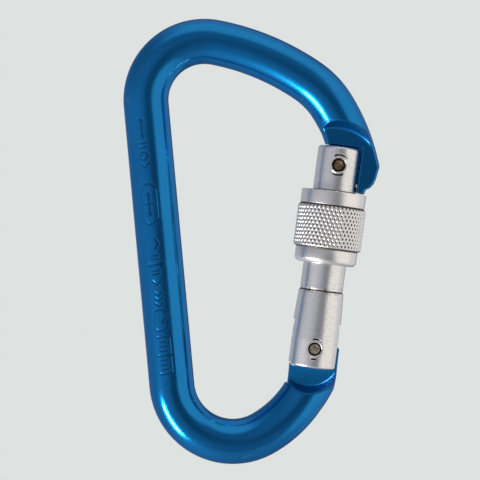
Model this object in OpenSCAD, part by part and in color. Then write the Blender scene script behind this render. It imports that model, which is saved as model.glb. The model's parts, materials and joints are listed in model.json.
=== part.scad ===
// Screw-locking carabiner, millimetres: a bent round bar, a hinged gate and a screw sleeve.
// The loop lies in the XZ plane and the bar is centred on Y = 0. The origin is the point
// on the inside of the top bow where the anchor sits, with +Z up and the gate on the +X side.
// "Gate frame" below means: origin at the hinge pin, x to the outside, z up the closed gate.

/* [Bar] */
// Diameter of the round bar
bar_d = 10.9; // [10.7:0.1:11.1]
// Lean of the straight spine, degrees
spine_lean = 5.24; // [5:0.02:5.5]
// Length of the straight spine
spine_len = 68.2; // [68:0.1:68.4]
// Centreline radius of the top bow
top_r = 14.15; // [14:0.05:14.3]
// Turn of the top bow, degrees
top_turn = 106.1; // [105.8:0.1:106.4]
// Centreline radius of the long roof between the top bow and the gate side
roof_r = 59.4; // [59:0.1:60]
// Turn of the roof, degrees
roof_turn = 23.5; // [23.3:0.1:23.7]
// Centreline radius of the bend above the nose
brow_r = 20.8; // [20.6:0.1:21]
// Turn of the bend above the nose, degrees
brow_turn = 23.8; // [23.6:0.1:24]
// Centreline radius of the nose
nose_r = 45.9; // [45.5:0.1:46.3]
// Turn of the nose, degrees
nose_turn = 18.6; // [18.4:0.1:18.8]
// Centreline radius of the bottom bow
foot_r = 14.8; // [14.7:0.05:14.9]
// Turn of the bottom bow, degrees
foot_turn = 114.7; // [114.4:0.1:115]
// Centreline radius of the rise to the hinge
heel_r = 28.3; // [28:0.1:28.6]
// Turn of the rise to the hinge, degrees
heel_turn = 26; // [25.8:0.1:26.2]
// Centreline radius of the last bend below the hinge
ankle_r = 20; // [19.8:0.1:20.2]
// Turn of the last bend below the hinge, degrees
ankle_turn = 30; // [29.5:0.5:30.5]

/* [Gate] */
// Hinge pin, to the side of the origin
hinge_x = 26.45; // [26.35:0.05:26.55]
// Hinge pin, below the origin
hinge_drop = 68.7; // [68.6:0.05:68.8]
// Lean of the closed gate, degrees
gate_lean = 7.5; // [7.4:0.1:7.6]
// Distance from the hinge pin to the latch pin
pin_gap = 44.4; // [44.3:0.05:44.5]
// Diameter of the gate head and of the neck under the sleeve
head_d = 10.4; // [10.2:0.1:10.4]
// Diameter of the gate just below the shoulder
waist_d = 10.9; // [10.8:0.1:11]
// Diameter of the gate at the hinge
base_d = 12.0; // [11.8:0.1:12]
// Height of the shoulder that stops the sleeve, above the hinge pin
shoulder_h = 13.9; // [13.5:0.1:14]
// Height of the top of the gate above the hinge pin
gate_top = 48.9; // [48.7:0.1:48.9]
// Depth of the gate below the hinge pin
gate_tail = 4.7; // [4.4:0.1:4.8]

/* [Pins and spring] */
// Diameter of the hinge pin
hinge_pin_d = 3.0; // [2.8:0.1:3]
// Diameter of the latch pin
latch_pin_d = 2.9; // [2.7:0.1:2.9]
// Rise of the spring plunger while the gate opens fully
plunger_rise = 1.2; // [1:0.1:1.2]
// Opening of the gate, degrees
gate_open = 28; // [24:1:28]

/* [Sleeve] */
// Height of the lower end of the sleeve above the hinge pin
sleeve_foot = 20.5; // [20.4:0.1:20.6]
// Height of the upper end of the sleeve above the hinge pin
sleeve_top = 38.0; // [37.9:0.1:38]
// Diameter of the plain collar below the knurl
collar_d = 15.0; // [14.8:0.1:15.2]
// Diameter over the knurl
knurl_d = 16.4; // [16.2:0.1:16.6]
// Diameter of the plain ring above the knurl
ring_d = 15.6; // [15.6:0.1:15.8]

/* [Hidden] */
$fn = 96;

bar_r = bar_d / 2;
base_r = base_d / 2;
head_r = head_d / 2;
running_gap = 0.05;              // radial clearance of a turning or sliding fit
clear = 14;                      // how far a cut runs on past the part
overrun = 3;                     // how far an outline runs on into solid metal

// Centreline of the bar, as stretches of [radius, turn]; a positive turn is to the left
spine_top = [-top_r * cos(spine_lean), bar_r - top_r - top_r * sin(spine_lean), 90 + spine_lean];
spine_end = [spine_top[0] + spine_len * sin(spine_lean),
             spine_top[1] - spine_len * cos(spine_lean), 270 + spine_lean];
upper_bends = [[top_r, -top_turn], [roof_r, -roof_turn], [brow_r, -brow_turn],
               [nose_r, -nose_turn]];
lower_bends = [[foot_r, foot_turn], [heel_r, heel_turn], [ankle_r, ankle_turn]];
nose_spare = 11;                 // straight bar past the nose bend, cut away by the tip
heel_spare = 10;                 // straight bar past the last bend, cut away round the tongue
heel_swell = [1.28, 1.25, 1.18, 1.1, 1.04]; // width of the bar at the hinge end, ring by ring
nose_swell = [1.55, 1.25, 1.06]; // inner width of the bar at the nose end, ring by ring
nose_square = [0.3, 0.3, 0.6];   // squareness of the bar's inner side there, 1 for a round one
bar_sides = 32;                  // sides of the swept bar
bend_step = 7.7;                 // largest turn between two rings of the swept bar

// Latch end, in the gate frame
nose_flat = 2.7;                 // half thickness between the milled flats of the nose
nose_mill = [-0.75, 41.9];       // centre of the round milled flats
nose_mill_r = 11.5;              // radius of those flats
nose_mill_slope = 0.6;           // outward slope of the wall around them
pocket_wall = 5.35;              // inner face of the nose, beside the gate head
pocket_top = 49.35;              // face above the gate head
pocket_foot = 28;                // lower end of what is cut away for the gate
tip_arc = sleeve_top + 0.95;     // the nose ends on this radius about the hinge pin
tip_r = 7.15;                    // radius of the nose cone about the gate axis at its tip
lock_rise = 1.5;                 // rise of the sleeve over that cone when it locks
cone_slope = 0.25;               // growth of that cone with height
brow_profile = [[8.5, 2.1], [9.3, 3.2], [9.7, 4.6], [9.95, 6.4], [10.6, 10]]; // above the cone:
                                 // radius about the gate axis, height above the sleeve's top
latch_tongue = 2.6;              // thickness of the tongue inside the gate head
latch_slot = 3.0;                // width of the slot in the gate head
tongue_end = -2.7;               // inner end of the tongue
tongue_foot = 40.6;              // underside of the tongue
tongue_corner = 1.8;             // radius of its lower corner
latch_seat_r = 1.75;             // radius of the seat for the latch pin
latch_mouth = 3.3;               // height of the way into that seat
latch_room = [0.5, 0.8];         // room in the gate past the tongue's end and below its foot
cone_cut = [18, 10];             // radius of the ring that shapes the cone, its depth below it

// Hinge end, in the gate frame
heel_flat = 1.9;                 // half thickness between the milled flats at the hinge
heel_mill = [-0.85, -1.6];       // centre of those flats
heel_mill_r = 7.6;               // radius of those flats
heel_mill_slope = 0.42;          // outward slope of the wall around them
hinge_slot = 4.1;                // width of the slot in the gate base
hinge_slot_top = 6.3;            // height of that slot above the pin
heel_round = 6.1;                // radius of the outer corner of the hinge tongue
cam_hub_r = 3.9;                 // radius of the tongue over the pin, beside the cam
cam_ledge = 0.7;                 // height above the pin where the hub starts
heel_foot = 9.2;                 // depth below the pin down to which the tongue is cut free
heel_inside = -5.3;              // inner edge of the hinge tongue
heel_outside = 6.15;             // its outer edge below the round corner
heel_corner = 4.3;               // depth where that corner starts
gate_edge = 0.5;                 // bevel round both ends of the gate
tail_corner = 1.5;               // radius of the inner corner of the gate below the pin
hinge_pin_sink = 0.4;            // depth of the ends of the hinge pin below the gate's sides
latch_pin_half = 4.3;            // half the length of the latch pin, which is sunk into the head
latch_sink_gap = 0.25;           // how much wider than the pin its sinking is, all round

// Spring and plunger, in the gate frame
plunger_tip_r = 1.4;             // radius of the plunger's round tip
plunger_tip_h = 5.6;             // height of the centre of that tip with the gate closed
plunger_r = 1.85;                // radius of the plunger's guide
plunger_neck = 1.4;              // length of its thin end above the tip's centre
plunger_seat = 10;               // height of the face that the spring pushes on
spring_end = 22;                 // height of the blind end of the spring's bore
spring_wire = 0.5;
spring_coils = 9;
spring_r = 1.45;                 // radius of the coil's centreline

// Sleeve, in the gate frame
knurl_foot = 24.2;               // lower edge of the knurled band
knurl_top = 34.5;                // upper edge of the knurled band
mouth_r = tip_r + lock_rise * cone_slope + 0.08; // radius of the sleeve's mouth at its lip
mouth_depth = 1.8;               // depth of the tapered mouth
bore_r = head_r + running_gap;   // threaded bore, drawn at its crest diameter
ring_wire = 1.0;                 // cross-section of the friction ring
ring_groove = [21.6, 22.8];      // groove in the bore for that ring
groove_r = bore_r + ring_wire + running_gap;

// ---- helpers ----

// The state [x, y, heading] after one stretch, from the state before it
function after(s, bend) =
    let (side = sign(bend[1]), r = bend[0], h = s[2] + bend[1],
         cx = s[0] - side * r * sin(s[2]), cy = s[1] + side * r * cos(s[2]))
    [cx + side * r * sin(h), cy - side * r * cos(h), h];

// The state before stretch number n of a list of stretches
function state(start, bends, n) =
    n == 0 ? start : after(state(start, bends, n - 1), bends[n - 1]);

// A quarter circle or other arc as a list of points
function arc(centre, r, a0, a1, steps = 8) =
    [for (i = [0:steps]) let (a = a0 + (a1 - a0) * i / steps)
        [centre[0] + r * cos(a), centre[1] + r * sin(a)]];

// The states along a list of stretches, at steps of at most bend_step degrees
function stations(start, bends) =
    [for (i = [0:len(bends) - 1])
        let (from = state(start, bends, i), r = bends[i][0], turn = bends[i][1],
             steps = ceil(abs(turn) / bend_step))
        for (k = [1:steps]) after(from, [r, turn * k / steps])];

// The state after a straight run
function ahead(s, run) = [s[0] + run * cos(s[2]), s[1] + run * sin(s[2]), s[2]];

// The ring of points round the bar at one state, widened towards the loop's inside or outside
function bar_ring(s, inner, outer, square) =
    [for (j = [0:bar_sides - 1])
        let (b = 360 * j / bar_sides, inward = cos(b) < 0,
             out = bar_r * cos(b) * (inward ? inner : outer),
             side = sign(sin(b)) * pow(abs(sin(b)), inward ? square : 1))
        [s[0] - out * sin(s[2]), bar_r * side, s[1] + out * cos(s[2])]];

// Places something drawn in the gate frame
module at_gate() {
    translate([hinge_x, 0, -hinge_drop])
        rotate([0, gate_lean, 0])
            children();
}

// An outline in XZ, made into a plate of the given thickness centred on Y = 0
module plate(thickness) {
    rotate([90, 0, 0])
        linear_extrude(thickness, center = true)
            children();
}

// A cylinder along Y, centred on Y = 0
module cross_pin(r, length) {
    rotate([90, 0, 0])
        cylinder(r = r, h = length, center = true);
}

module both_sides() {
    children();
    mirror([0, 1, 0])
        children();
}

// What a face mill takes off one side: a disc with a sloping wall
module mill_cut(centre, r, half, slope) {
    depth = bar_r - half + 1;
    translate([centre[0], 0, centre[1]])
        rotate([90, 0, 0])
            translate([0, 0, half])
                cylinder(r1 = r, r2 = r + slope * depth, h = depth);
}

// ---- the bar ----

// The bent bar as one swept tube, from the hinge end round the spine to the nose.
// Both ends are forged wider than the bar, so that the tongues can be cut out of them.
module bent_bar() {
    lower = stations(spine_end, lower_bends);
    upper = stations(spine_top, upper_bends);
    hinge_end = ahead(lower[len(lower) - 1], heel_spare);
    path = concat(
        [hinge_end + [0, 0, 180]],
        [for (i = [len(lower) - 1:-1:0]) lower[i] + [0, 0, 180]],
        [spine_end + [0, 0, 180], spine_top],
        upper,
        [ahead(upper[len(upper) - 1], nose_spare)]);
    last = len(path) - 1;
    inner = [for (i = [0:last]) i < len(heel_swell) ? heel_swell[i]
        : last - i < len(nose_swell) ? nose_swell[last - i] : 1];
    outer = [for (i = [0:last]) i < len(heel_swell) ? heel_swell[i] : 1];
    square = [for (i = [0:last])
        last - i < len(nose_square) ? nose_square[last - i] : 1];
    n = bar_sides;
    points = [for (i = [0:last], p = bar_ring(path[i], inner[i], outer[i], square[i])) p];
    walls = [for (i = [0:last - 1], j = [0:n - 1])
        let (k = (j + 1) % n)
        [i * n + j, (i + 1) * n + j, (i + 1) * n + k, i * n + k]];
    ends = [[for (j = [0:n - 1]) j], [for (j = [n - 1:-1:0]) last * n + j]];
    polyhedron(points, concat(walls, ends), convexity = 8);
}

// Side view of the tongue that hooks under the latch pin
module latch_tongue_outline() {
    half_mouth = latch_mouth / 2;
    mouth_a = asin(half_mouth / latch_seat_r);
    polygon(concat(
        [[pocket_wall + overrun, tongue_foot], [pocket_wall + overrun, pocket_top + overrun],
         [tongue_end, pocket_top + overrun], [tongue_end, pin_gap + half_mouth]],
        arc([0, pin_gap], latch_seat_r, 180 - mouth_a, mouth_a - 180, 20),
        [[tongue_end, pin_gap - half_mouth]],
        arc([tongue_end + tongue_corner, tongue_foot + tongue_corner], tongue_corner,
            180, 270)));
}

// Room for the gate head beside and below the nose, and the cone that the sleeve closes on
module nose_cuts() {
    both_sides() {
        mill_cut(nose_mill, nose_mill_r, nose_flat, nose_mill_slope);
        translate([-clear, -clear, pocket_foot])
            cube([clear + pocket_wall, clear - latch_tongue / 2, pocket_top - pocket_foot]);
    }
    plate(latch_tongue + 1)
        difference() {
            translate([-clear, pocket_foot])
                square([clear + pocket_wall, pocket_top - pocket_foot]);
            latch_tongue_outline();
        }
    plate(2 * clear)
        intersection() {
            circle(tip_arc);
            translate([pocket_wall - 1, pocket_foot])
                square([clear, clear]);
        }
    rotate_extrude()
        polygon(concat(
            [[cone_cut[0], sleeve_top - cone_cut[1]], [tip_r, sleeve_top - cone_cut[1]],
             [tip_r, sleeve_top],
             [tip_r + lock_rise * cone_slope, sleeve_top + lock_rise]],
            [for (p = brow_profile) [p[0], sleeve_top + p[1]]],
            [[cone_cut[0], sleeve_top + brow_profile[len(brow_profile) - 1][1]]]));
}

// Height of the plunger tip's centre when the gate has turned by the angle a
function tip_height(a) = plunger_tip_h + plunger_rise * a / gate_open;

// The cam's edge at that angle: the tip's path, set in by the tip's radius and a small gap
function cam_point(a) =
    let (h = tip_height(a), k = plunger_rise / gate_open * 180 / PI,
         n = sqrt(h * h + k * k), inset = plunger_tip_r + running_gap,
         out = h - inset * h / n, along = inset * k / n)
    [-out * sin(a) - along * cos(a), out * cos(a) - along * sin(a)];

// Side view of the tongue that carries the gate: outer corner, hub, cam and inner edge
module hinge_tongue_outline() {
    crown_a = gate_open + 8;
    crown = cam_point(crown_a);
    crown_r = norm(crown);
    polygon(concat(
        [[heel_inside + 0.1, -heel_foot], [heel_inside + 0.1, -heel_foot - overrun],
         [heel_outside, -heel_foot - overrun], [heel_outside, -heel_corner]],
        arc([0, 0], heel_round, -4, asin(cam_ledge / heel_round), 2),
        arc([0, 0], cam_hub_r, asin(cam_ledge / cam_hub_r), 88, 10),
        [for (a = [-10:2:crown_a]) cam_point(a)],
        arc([0, 0], crown_r, atan2(crown[1], crown[0]) + 5, 155, 4),
        [[heel_inside, 0], [heel_inside - 0.15, -4]]));
}

// What is taken off the hinge end: a flat on each side and all that is round the tongue
module heel_cuts() {
    both_sides()
        mill_cut(heel_mill, heel_mill_r, heel_flat, heel_mill_slope);
    plate(2 * clear)
        difference() {
            translate([-clear, -heel_foot])
                square([2 * clear, heel_foot + clear]);
            hinge_tongue_outline();
        }
    cross_pin(hinge_pin_d / 2 + running_gap, 2 * clear);
}

module frame() {
    color([0.04, 0.33, 0.60])
        difference() {
            bent_bar();
            at_gate()
                nose_cuts();
            at_gate()
                heel_cuts();
        }
}

// ---- the gate ----

module gate() {
    waist_r = waist_d / 2;
    color([0.78, 0.79, 0.80])
        at_gate()
            difference() {
                rotate_extrude()
                    polygon([[0, -gate_tail], [base_r - gate_edge, -gate_tail],
                             [base_r, gate_edge - gate_tail], [base_r, 2],
                             [waist_r, shoulder_h - 0.2], [waist_r - 0.2, shoulder_h],
                             [head_r, shoulder_h], [head_r, gate_top - gate_edge],
                             [head_r - gate_edge, gate_top], [0, gate_top]]);
                plate(hinge_slot)
                    translate([-clear, -clear])
                        square([2 * clear, clear + hinge_slot_top]);
                plate(latch_slot)
                    translate([tongue_end - latch_room[0], tongue_foot - latch_room[1]])
                        square([clear, clear]);
                plate(2 * clear)
                    difference() {
                        translate([-base_r - 1, -gate_tail - 1])
                            square(1 + tail_corner);
                        translate([tail_corner - base_r, tail_corner - gate_tail])
                            circle(tail_corner);
                    }
                cylinder(r = plunger_r + running_gap, h = spring_end);
                cross_pin(hinge_pin_d / 2, 2 * clear);
                translate([0, 0, pin_gap])
                    cross_pin(latch_pin_d / 2, 2 * clear);
                both_sides()
                    translate([0, -latch_pin_half, pin_gap])
                        rotate([90, 0, 0])
                            cylinder(r = latch_pin_d / 2 + latch_sink_gap, h = clear);
            }
}

module hinge_pin() {
    color([0.55, 0.53, 0.50])
        at_gate()
            cross_pin(hinge_pin_d / 2, base_d - 2 * hinge_pin_sink);
}

module latch_pin() {
    color([0.52, 0.45, 0.36])
        at_gate()
            translate([0, 0, pin_gap])
                cross_pin(latch_pin_d / 2, 2 * latch_pin_half);
}

// ---- the sleeve ----

module sleeve() {
    collar_r = collar_d / 2;
    knurl_r = knurl_d / 2;
    outer_r = ring_d / 2;
    foot_round = 1.2;
    knurl_edge = 0.4;
    lip_edge = 0.12;
    seat_r = mouth_r - mouth_depth * cone_slope;
    outline = concat(
        [[bore_r, sleeve_foot]],
        arc([collar_r - foot_round, sleeve_foot + foot_round], foot_round, -90, 0),
        [[collar_r, knurl_foot], [knurl_r - knurl_edge, knurl_foot],
         [knurl_r, knurl_foot + knurl_edge], [knurl_r, knurl_top - knurl_edge],
         [knurl_r - knurl_edge, knurl_top], [outer_r, knurl_top],
         [outer_r, sleeve_top - lip_edge], [outer_r - lip_edge, sleeve_top],
         [mouth_r, sleeve_top], [seat_r, sleeve_top - mouth_depth],
         [bore_r, sleeve_top - mouth_depth], [bore_r, ring_groove[1]],
         [groove_r, ring_groove[1]], [groove_r, ring_groove[0]], [bore_r, ring_groove[0]]]);
    color([0.82, 0.83, 0.84])
        at_gate()
            rotate_extrude()
                polygon(outline);
}

module sleeve_friction_ring() {
    color([0.12, 0.12, 0.13])
        at_gate()
            translate([0, 0, (ring_groove[0] + ring_groove[1]) / 2])
                rotate_extrude()
                    translate([bore_r + ring_wire / 2, 0])
                        circle(d = ring_wire);
}

// ---- inside the gate ----

module spring_plunger() {
    color([0.60, 0.60, 0.61])
        at_gate() {
            translate([0, 0, plunger_tip_h])
                sphere(plunger_tip_r);
            translate([0, 0, plunger_tip_h])
                cylinder(r = plunger_tip_r, h = plunger_neck + 0.2);
            translate([0, 0, plunger_tip_h + plunger_neck])
                cylinder(r = plunger_r, h = plunger_seat - plunger_tip_h - plunger_neck);
        }
}

// The coil, as one closed tube swept along a helix
module gate_spring() {
    sides = 8;
    per_coil = 10;
    rings = spring_coils * per_coil;
    end_gap = 0.02;
    low = plunger_seat + spring_wire / 2 + end_gap;
    high = spring_end - spring_wire / 2 - end_gap;
    points = [for (i = [0:rings], j = [0:sides - 1])
        let (a = 360 * i / per_coil, b = 360 * j / sides,
             r = spring_r + spring_wire / 2 * cos(b))
        [r * cos(a), r * sin(a), low + (high - low) * i / rings + spring_wire / 2 * sin(b)]];
    walls = [for (i = [0:rings - 1], j = [0:sides - 1])
        let (k = (j + 1) % sides)
        [i * sides + j, i * sides + k, (i + 1) * sides + k, (i + 1) * sides + j]];
    ends = [[for (j = [sides - 1:-1:0]) j], [for (j = [0:sides - 1]) rings * sides + j]];
    color([0.66, 0.67, 0.68])
        at_gate()
            polyhedron(points, concat(walls, ends), convexity = 8);
}

frame();
gate();
hinge_pin();
latch_pin();
sleeve();
sleeve_friction_ring();
spring_plunger();
gate_spring();
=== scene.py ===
"""Looks of a screw-locking carabiner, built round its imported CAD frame, in metres.

Lengths named in millimetres below are turned into metres where a mesh is made.
"Gate frame": origin at the hinge pin, u to the outside, w up the closed gate, y through the bar.
"""

import itertools
import json
import math

import bmesh
import bpy
import numpy as np
from mathutils import Matrix, Vector


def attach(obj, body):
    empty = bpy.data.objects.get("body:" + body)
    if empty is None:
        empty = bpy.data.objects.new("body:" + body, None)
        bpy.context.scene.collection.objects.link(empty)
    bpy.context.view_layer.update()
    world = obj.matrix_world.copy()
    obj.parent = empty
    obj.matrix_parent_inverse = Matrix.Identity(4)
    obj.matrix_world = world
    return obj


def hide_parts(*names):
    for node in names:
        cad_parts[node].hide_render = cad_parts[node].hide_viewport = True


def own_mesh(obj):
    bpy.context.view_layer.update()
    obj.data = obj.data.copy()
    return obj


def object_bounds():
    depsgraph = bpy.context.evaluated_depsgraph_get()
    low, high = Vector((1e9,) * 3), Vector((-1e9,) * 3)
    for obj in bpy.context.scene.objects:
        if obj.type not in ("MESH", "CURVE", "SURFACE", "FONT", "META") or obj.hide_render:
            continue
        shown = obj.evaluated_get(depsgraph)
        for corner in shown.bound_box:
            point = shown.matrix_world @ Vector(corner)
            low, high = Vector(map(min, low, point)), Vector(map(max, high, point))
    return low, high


MM = 0.001
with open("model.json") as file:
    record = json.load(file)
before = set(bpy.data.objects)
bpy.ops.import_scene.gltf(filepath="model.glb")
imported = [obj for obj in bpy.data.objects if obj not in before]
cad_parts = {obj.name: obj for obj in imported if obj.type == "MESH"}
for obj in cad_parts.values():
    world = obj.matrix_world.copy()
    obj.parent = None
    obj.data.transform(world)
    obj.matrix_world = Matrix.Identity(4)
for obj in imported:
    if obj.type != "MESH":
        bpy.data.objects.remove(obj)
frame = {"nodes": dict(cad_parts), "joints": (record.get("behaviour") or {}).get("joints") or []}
cad_lo, cad_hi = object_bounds()
joints = {j["name"]: j for j in frame["joints"]}
hinge_at = joints["gate_hinge"]["pos_m"]
gate_axis = joints["sleeve_turn"]["axis"]
HINGE_X, HINGE_Z = hinge_at[0] / MM, hinge_at[2] / MM
LEAN_SIN, LEAN_COS = gate_axis[0], gate_axis[2]
GATE_PLACE = Matrix.Translation(Vector(hinge_at)) @ Matrix.Rotation(
    math.asin(LEAN_SIN), 4, "Y"
)

# ---------------------------------------------------------------- dimensions, in millimetres

BAR_R = 5.45
SPINE_LEAN = 5.24  # degrees
SPINE_LEN = 68.2
# bends from each end of the spine: radius, turn in degrees
TOP_BENDS = [(14.15, -106.1), (59.4, -23.5), (20.8, -23.8), (45.9, -18.6)]
FOOT_BENDS = [(14.8, 114.7), (28.3, 26.0), (20.0, 30.0)]
NOSE_SPARE, HEEL_SPARE = 11.0, 10.0  # straight bar past the last bend
NOSE_SWELL = ([0, 11, 16, 21], [1.55, 1.25, 1.06, 1.0])  # from the end: distance, width
NOSE_SQUARE = ([0, 11, 16, 21], [0.3, 0.3, 0.6, 1.0])  # from the end: distance, roundness
HEEL_SWELL = ([0, 10, 12.6, 15.2, 17.9, 20.5], [1.28, 1.25, 1.18, 1.1, 1.04, 1.0])

PIN_GAP = 44.4
LATCH_TONGUE, HINGE_TONGUE = 1.3, 1.9  # half thicknesses
POCKET_WALL, POCKET_TOP, POCKET_FOOT = 5.27, 49.35, 28.0
SLEEVE_FOOT, SLEEVE_TOP = 20.5, 38.0
BASE_R, WAIST_R, NECK_R, HEAD_R = 6.0, 5.45, 5.18, 5.2
SHOULDER, GATE_TOP, GATE_TAIL = 13.9, 48.9, 4.7
HINGE_PIN_R, LATCH_PIN_R = 1.5, 1.45
HINGE_PIN_HALF, LATCH_PIN_HALF = 5.62, 4.3
HINGE_HOLE, LATCH_HOLE, LATCH_SINK = 1.56, 1.5, 1.7  # radii in the gate
SPRING_LOW, SPRING_HIGH, SPRING_R, WIRE_R = 10.0, 22.0, 1.45, 0.25
# face mills: centre beside and along the gate, radius, half thickness left, wall slope, corner
NOSE_MILL = ((-0.75, 41.9), 11.5, 2.7, 0.6, 0.4)
HEEL_MILL = ((-0.85, -1.6), 7.6, HINGE_TONGUE, 0.42, 0.6)
MARKS_FROM, MARKS_TO = 2.6, 66.2  # down the spine


# ---------------------------------------------------------------- planar and solid fields


def after(state, bend):
    """The state (x, z, heading in radians) after one bend (radius, turn in degrees)."""
    x, z, h = state
    r, turn = bend
    side = math.copysign(1, turn)
    end = h + math.radians(turn)
    cx, cz = x - side * r * math.sin(h), z + side * r * math.cos(h)
    return cx + side * r * math.sin(end), cz - side * r * math.cos(end), end


def ahead(state, run):
    """The state after a straight run."""
    x, z, h = state
    return x + run * math.cos(h), z + run * math.sin(h), h


spine_tilt = math.radians(SPINE_LEAN)
spine_top = (
    -TOP_BENDS[0][0] * math.cos(spine_tilt),
    BAR_R - TOP_BENDS[0][0] * (1 + math.sin(spine_tilt)),
    math.pi / 2 + spine_tilt,
)
spine_end = ahead((spine_top[0], spine_top[1], spine_top[2] + math.pi), SPINE_LEN)
SPINE_DOWN = (-math.cos(spine_top[2]), -math.sin(spine_top[2]))


def offset_from(state, bends, spare, x, z):
    """For points in the plane: the offset to the left of the chain, the distance to its far end,
    and how far past that end they are."""
    best, side_of, far = np.inf, 0.0, 0.0
    total = sum(r * math.radians(abs(turn)) for r, turn in bends) + spare
    done = 0.0
    for bend in [*bends, None]:
        x0, z0, h = state
        if bend is None:
            dx, dz = x - x0, z - z0
            past = dx * math.cos(h) + dz * math.sin(h) - spare
            run = np.clip(past + spare, 0, spare)
            off = dz * math.cos(h) - dx * math.sin(h)
            gap = np.hypot(dx - run * math.cos(h), dz - run * math.sin(h))
        else:
            r, turn = bend
            side = math.copysign(1, turn)
            cx, cz = x0 - side * r * math.sin(h), z0 + side * r * math.cos(h)
            rx, rz = x - cx, z - cz
            start = math.atan2(z0 - cz, x0 - cx)
            turned = (side * (np.arctan2(rz, rx) - start) + math.pi) % (2 * math.pi) - math.pi
            held = np.clip(turned, 0, math.radians(abs(turn)))
            a = start + side * held
            off = side * (r - np.hypot(rx, rz))
            gap = np.hypot(rx - r * np.cos(a), rz - r * np.sin(a))
            run = held * r
            state = after(state, bend)
        nearer = gap < best
        best = np.where(nearer, gap, best)
        side_of = np.where(nearer, off, side_of)
        far = np.where(nearer, total - done - run, far)
        if bend is not None:
            done += bend[0] * math.radians(abs(bend[1]))
    return side_of, far, np.where(far < 0.1, past, -9.0)


def to_gate(x, z):
    """Points of the plane in the gate frame."""
    dx, dz = x - HINGE_X, z - HINGE_Z
    return dx * LEAN_COS - dz * LEAN_SIN, dx * LEAN_SIN + dz * LEAN_COS


def both(a, b, r):
    """What is inside both fields, with its edge rounded to r."""
    return np.minimum(-r, np.maximum(a, b)) + np.hypot(
        np.maximum(a + r, 0), np.maximum(b + r, 0)
    )


def less(a, b, r):
    """What is inside a and not inside b, with its edge rounded to r."""
    return both(a, -b, r)


def inside_polygon(corners, x, z):
    """Signed distance to a polygon, negative inside."""
    d, sign = np.inf, 1.0
    for i, (ax, az) in enumerate(corners):
        bx, bz = corners[i - 1]
        ex, ez, wx, wz = bx - ax, bz - az, x - ax, z - az
        t = np.clip((wx * ex + wz * ez) / (ex * ex + ez * ez), 0, 1)
        d = np.minimum(d, (wx - ex * t) ** 2 + (wz - ez * t) ** 2)
        up, down, left = z >= az, z < bz, ex * wz > ez * wx
        flip = (up & down & left) | (~up & ~down & ~left)
        sign = np.where(flip, -sign, sign)
    return sign * np.sqrt(d)


def arc(cx, cz, r, a0, a1, steps=8):
    """Points along an arc, between two angles in degrees."""
    angles = [math.radians(a0 + (a1 - a0) * i / steps) for i in range(steps + 1)]
    return [(cx + r * math.cos(a), cz + r * math.sin(a)) for a in angles]


def mill(u, y, w, centre, r, half, slope, corner):
    """The room a face mill leaves on both sides: flats at half, and a sloping wall."""
    out = np.abs(y) - half
    wall = np.hypot(u - centre[0], w - centre[1]) - r - slope * out
    return both(-out, wall / math.hypot(1, slope), corner)


# the hooked tongue's seat for the latch pin, the half height of its mouth, and its own ends
SEAT_R, MOUTH, TONGUE_END, TONGUE_FOOT, TONGUE_CORNER = 1.75, 1.65, -2.7, 40.6, 1.8
mouth_turn = math.degrees(math.asin(MOUTH / SEAT_R))
LATCH_OUTLINE = [
    (POCKET_WALL + 3, TONGUE_FOOT),
    (POCKET_WALL + 3, POCKET_TOP + 3),
    (TONGUE_END, POCKET_TOP + 3),
    (TONGUE_END, PIN_GAP + MOUTH),
    *arc(0, PIN_GAP, SEAT_R, 180 - mouth_turn, mouth_turn - 180, 20),
    (TONGUE_END, PIN_GAP - MOUTH),
    *arc(TONGUE_END + TONGUE_CORNER, TONGUE_FOOT + TONGUE_CORNER, TONGUE_CORNER, 180, 270),
]
TIP_WALL, TIP_TOP, TIP_SWING = POCKET_WALL - 1, 42, SLEEVE_TOP + 0.95
NOSE_PROFILE = [  # the nose ends inside this shape turned about the gate axis
    (-30, POCKET_FOOT - 30),
    (7.15, POCKET_FOOT - 30),
    (7.15, SLEEVE_TOP),
    (7.5, SLEEVE_TOP + 1.5),
    (8.5, SLEEVE_TOP + 2.1),
    (9.25, SLEEVE_TOP + 3.2),
    (9.65, SLEEVE_TOP + 4.6),
    (9.9, SLEEVE_TOP + 6.4),
    (10.6, SLEEVE_TOP + 10),
    (60, SLEEVE_TOP + 10),
    (60, SLEEVE_TOP + 60),
    (-30, SLEEVE_TOP + 60),
]


def nose_field(x, y, z):
    """The bar's nose: milled flats, the pocket for the gate head, the hooked tongue and the cone."""
    off, far, past = offset_from(spine_top, TOP_BENDS, NOSE_SPARE, x, z)
    wide = np.where(off < 0, np.interp(far, *NOSE_SWELL), 1.0)
    power = 1 / np.where(off < 0, np.interp(far, *NOSE_SQUARE), 1.0)
    flank = (np.abs(y) / BAR_R) ** power * BAR_R
    solid = np.maximum(np.hypot(off / wide, flank) - BAR_R, past)
    u, w = to_gate(x, z)
    solid = less(solid, mill(u, y, w, *NOSE_MILL), 0.12)
    tongue = both(inside_polygon(LATCH_OUTLINE, u, w), np.abs(y) - LATCH_TONGUE, 0.2)
    pocket = np.maximum(np.maximum(u - POCKET_WALL, w - POCKET_TOP), POCKET_FOOT - w)
    solid = less(solid, less(pocket, tongue, 0.15), 0.12)
    tip = np.maximum(np.hypot(u, w) - TIP_SWING, np.maximum(TIP_WALL - u, w - TIP_TOP))
    solid = less(solid, tip, 0.2)
    return less(solid, -inside_polygon(NOSE_PROFILE, np.hypot(u, y), w), 0.3)


ROOM_FOOT, ROOM_TOP, ROOM_HALF = -9.2, 11.8, 12  # the stretch cut down to the hinge tongue
HINGE_BORE_R = 1.55


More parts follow.
